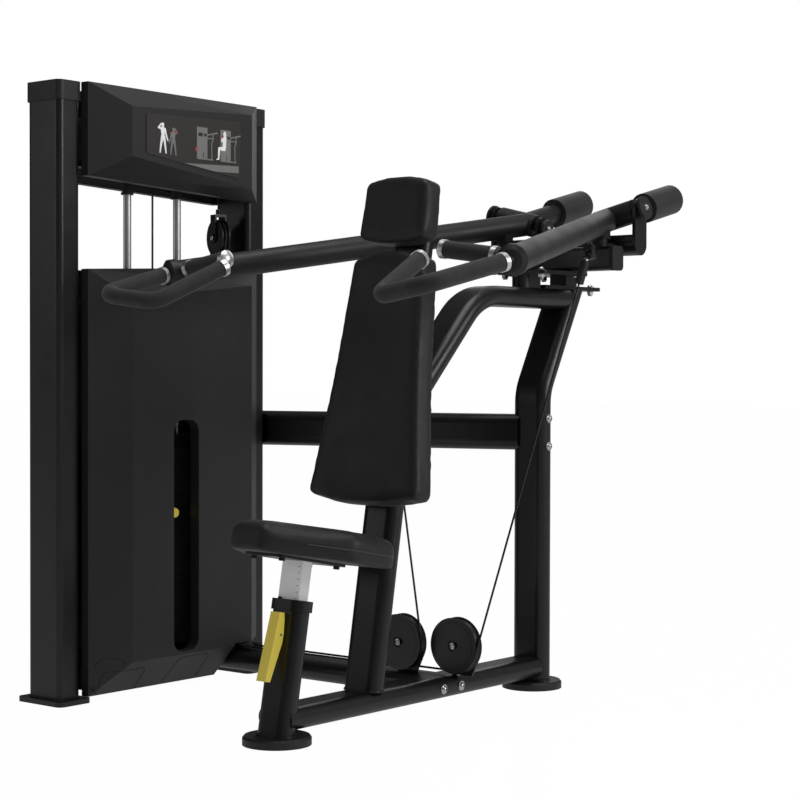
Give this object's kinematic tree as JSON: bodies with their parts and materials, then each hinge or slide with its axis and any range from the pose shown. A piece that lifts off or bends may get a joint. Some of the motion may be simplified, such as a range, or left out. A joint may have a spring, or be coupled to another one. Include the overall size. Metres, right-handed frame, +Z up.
{
  "type": "selectorized shoulder press machine",
  "caption": "Seated shoulder press: two linked press arms with counterweights lift a pin-selected weight stack in an enclosed tower; adjustable seat and fixed backrest.",
  "frame": {"origin": "middle of the underside of the rear floor disc, on the seat's middle plane", "axes": "+Z up; -Y is the way the seated user faces; +X is the user's left; the weight tower stands on the -X side"},
  "size_m": [1.4442, 1.5036, 1.5],
  "materials": {
    "frame_paint": "satin black powder coat",
    "cover_grey": "matte charcoal moulded panel",
    "cap_grey": "matte dark grey",
    "rubber": "matte black rubber",
    "placard": "printed panel, dark brown grey",
    "plates": "dark painted steel plates",
    "steel": "brushed steel",
    "zinc": "zinc plated bolts",
    "chrome": "polished chrome",
    "mustard": "mustard yellow moulding",
    "pulley": "black nylon",
    "cable": "black coated cable",
    "grip": "dark grey foam grip",
    "pad": "black fine-grain artificial leather",
    "counterweight": "dark grey satin paint",
    "bronze": "plain bronze bush"
  },
  "bodies": {
    "frame": {"front_upright": "frame_paint", "rear_upright": "frame_paint", "upright_caps": "cap_grey", "tower_beams": "frame_paint", "upper_front_cover": "cover_grey", "lower_front_cover": "cover_grey", "rear_covers": "cover_grey", "placard": "placard", "guide_rods": "steel", "rubber_buffers": "rubber", "resting_plates": "plates", "pulley_brackets": "frame_paint", "stack_cable": "cable", "block_cable": "cable", "loop_cables": "cable", "still_cables": "cable", "floor_discs": "cap_grey", "base_tube": "frame_paint", "base_cross_tube": "frame_paint", "upper_cross_tube": "frame_paint", "rear_post": "frame_paint", "bridge_tube": "frame_paint", "back_post": "frame_paint", "pedestal": "frame_paint", "pedestal_collar": "frame_paint", "head_plates": "frame_paint", "stop_bar": "frame_paint", "pivot_yoke": "frame_paint", "pivot_axles": "cap_grey", "pivot_bushes": "bronze", "frame_bolts": "zinc", "back_pad": "pad", "head_pad": "pad", "pad_plates": "frame_paint"},
    "stack": {"lifted_plates": "plates", "selector_stem": "steel"},
    "pin": {"selector_pin": "mustard"},
    "block": {"floating_block": "frame_paint"},
    "block_wheel": {"floating_pulley": "pulley"},
    "stack_wheel": {"stack_pulley": "pulley"},
    "drop_wheel": {"block_pulley": "pulley"},
    "foot_wheels": {"tower_foot_pulleys": "pulley"},
    "left_base_wheel": {"left_base_pulley": "pulley"},
    "right_base_wheel": {"right_base_pulley": "pulley"},
    "left_press": {"left_arm": "frame_paint", "left_counterweight": "counterweight", "left_grips": "grip", "left_grip_ends": "chrome"},
    "right_press": {"right_arm": "frame_paint", "right_counterweight": "counterweight", "right_grips": "grip", "right_grip_ends": "chrome"},
    "left_end": {"left_cable_end": "rubber"},
    "right_end": {"right_cable_end": "rubber"},
    "left_line": {"left_cable": "cable"},
    "right_line": {"right_cable": "cable"},
    "seat": {"seat_post": "steel", "seat_plate": "frame_paint", "seat_pad": "pad"},
    "lever": {"seat_lever": "mustard"}
  },
  "joints": [
    {"name": "left_press_lift", "type": "hinge", "parent": "frame", "child": "left_press", "pos_m": [0.152, 0.1514, 1.198], "axis": [-0.9728, 0, -0.2317], "range_deg": [0, 40]},
    {"name": "right_press_lift", "type": "hinge", "parent": "frame", "child": "right_press", "pos_m": [-0.152, 0.1514, 1.198], "axis": [-0.9728, 0, 0.2317], "range_deg": [0, 40]},
    {"name": "left_end_swing", "type": "hinge", "parent": "left_press", "child": "left_end", "pos_m": [0.212, -0.066, 1.1066], "axis": [-0.9728, 0, -0.2317], "range_deg": [-40, 0]},
    {"name": "right_end_swing", "type": "hinge", "parent": "right_press", "child": "right_end", "pos_m": [-0.296, -0.276, 1.0718], "axis": [-0.9728, 0, 0.2317], "range_deg": [-40, 0]},
    {"name": "left_line_lift", "type": "slide", "parent": "frame", "child": "left_line", "axis": [-0.2308, -0.0927, 0.9686], "range_m": [0, 0.165], "deforming": ["left_cable"]},
    {"name": "right_line_lift", "type": "slide", "parent": "frame", "child": "right_line", "axis": [0.2317, -0.0012, 0.9728], "range_m": [0, 0.312], "deforming": ["right_cable"]},
    {"name": "stack_lift", "type": "slide", "parent": "frame", "child": "stack", "axis": [0, 0, 1], "range_m": [0, 0.213], "deforming": ["stack_cable"]},
    {"name": "selector_pin_pull", "type": "slide", "parent": "stack", "child": "pin", "axis": [1, 0, 0], "range_m": [0, 0.07]},
    {"name": "block_drop", "type": "slide", "parent": "frame", "child": "block", "axis": [0, 0, -1], "range_m": [0, 0.213], "deforming": ["block_cable", "loop_cables"]},
    {"name": "block_wheel_turn", "type": "hinge", "parent": "block", "child": "block_wheel", "pos_m": [-0.76, -0.363, 1.155], "axis": [-0.3256, -0.9455, 0], "continuous": true},
    {"name": "stack_wheel_turn", "type": "hinge", "parent": "frame", "child": "stack_wheel", "pos_m": [-0.76, -0.5485, 1.378], "axis": [-1, 0, 0], "range_deg": [0, 230]},
    {"name": "drop_wheel_turn", "type": "hinge", "parent": "frame", "child": "drop_wheel", "pos_m": [-0.76, -0.416, 1.378], "axis": [-1, 0, 0], "range_deg": [0, 230]},
    {"name": "foot_wheels_turn", "type": "hinge", "parent": "frame", "child": "foot_wheels", "pos_m": [-0.722, -0.39, 0.139], "axis": [0, -1, 0], "range_deg": [0, 254]},
    {"name": "left_base_wheel_turn", "type": "hinge", "parent": "frame", "child": "left_base_wheel", "pos_m": [0.043, -0.375, 0.152], "axis": [0, -1, 0], "range_deg": [0, 137]},
    {"name": "right_base_wheel_turn", "type": "hinge", "parent": "frame", "child": "right_base_wheel", "pos_m": [-0.1, -0.405, 0.152], "axis": [0, -1, 0], "range_deg": [0, 263]},
    {"name": "seat_height", "type": "slide", "parent": "frame", "child": "seat", "axis": [0, 0.184, 0.9829], "range_m": [-0.06, 0.1]},
    {"name": "seat_lever_swing", "type": "hinge", "parent": "frame", "child": "lever", "pos_m": [0, -0.9585, 0.238], "axis": [-1, 0, 0], "range_deg": [0, 8]}
  ],
  "couplings": [
    {"joint": "right_press_lift", "follows": "left_press_lift", "ratio": 1},
    {"joint": "left_end_swing", "follows": "left_press_lift", "ratio": -1},
    {"joint": "right_end_swing", "follows": "left_press_lift", "ratio": -1},
    {"joint": "left_line_lift", "follows": "left_press_lift", "m_per_rad": 0.2356},
    {"joint": "right_line_lift", "follows": "left_press_lift", "m_per_rad": 0.4459},
    {"joint": "stack_lift", "follows": "left_press_lift", "m_per_rad": 0.3039},
    {"joint": "block_drop", "follows": "left_press_lift", "m_per_rad": 0.3039},
    {"joint": "stack_wheel_turn", "follows": "left_press_lift", "ratio": 5.7342},
    {"joint": "drop_wheel_turn", "follows": "left_press_lift", "ratio": 5.7342},
    {"joint": "foot_wheels_turn", "follows": "left_press_lift", "ratio": 6.3315},
    {"joint": "left_base_wheel_turn", "follows": "left_press_lift", "ratio": 3.4073},
    {"joint": "right_base_wheel_turn", "follows": "left_press_lift", "ratio": 6.5571}
  ]
}
